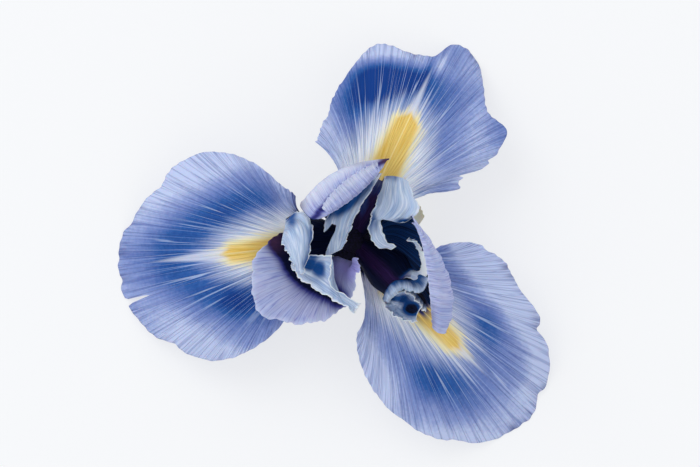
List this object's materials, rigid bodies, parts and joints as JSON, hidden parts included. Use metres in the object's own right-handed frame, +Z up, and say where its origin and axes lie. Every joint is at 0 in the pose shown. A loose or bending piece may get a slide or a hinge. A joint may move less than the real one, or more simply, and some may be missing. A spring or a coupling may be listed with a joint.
{
  "type": "cut iris bloom",
  "caption": "Cut iris bloom lying face up, with drooping blue falls marked in yellow, curled standards and forked style arms over a short cut ovary.",
  "frame": {"origin": "centre of the bloom's bounding box in plan, at the level it rests on", "axes": "+Z up out of the face of the flower, +X along the longer spread of the falls, +Y towards the fall that points away"},
  "size_m": [0.1082, 0.0994, 0.0503],
  "materials": {
    "fall_petal": "satin",
    "standard_petal": "satin",
    "style_petal": "satin",
    "stamen": "matte",
    "floral_tube": "satin",
    "ovary": "satin",
    "spathe": "satin"
  },
  "bodies": {
    "root": {"ovary": "ovary", "perianth_tube": "floral_tube", "spathe_outer": "spathe", "spathe_inner": "spathe", "fall_top": "fall_petal", "fall_left": "fall_petal", "fall_right": "fall_petal", "standard_shell": "standard_petal", "standard_back": "standard_petal", "standard_side": "standard_petal", "style_arm_top": "style_petal", "style_arm_left": "style_petal", "style_arm_right": "style_petal", "stamen_top": "stamen", "stamen_left": "stamen", "stamen_right": "stamen"}
  },
  "joints": []
}
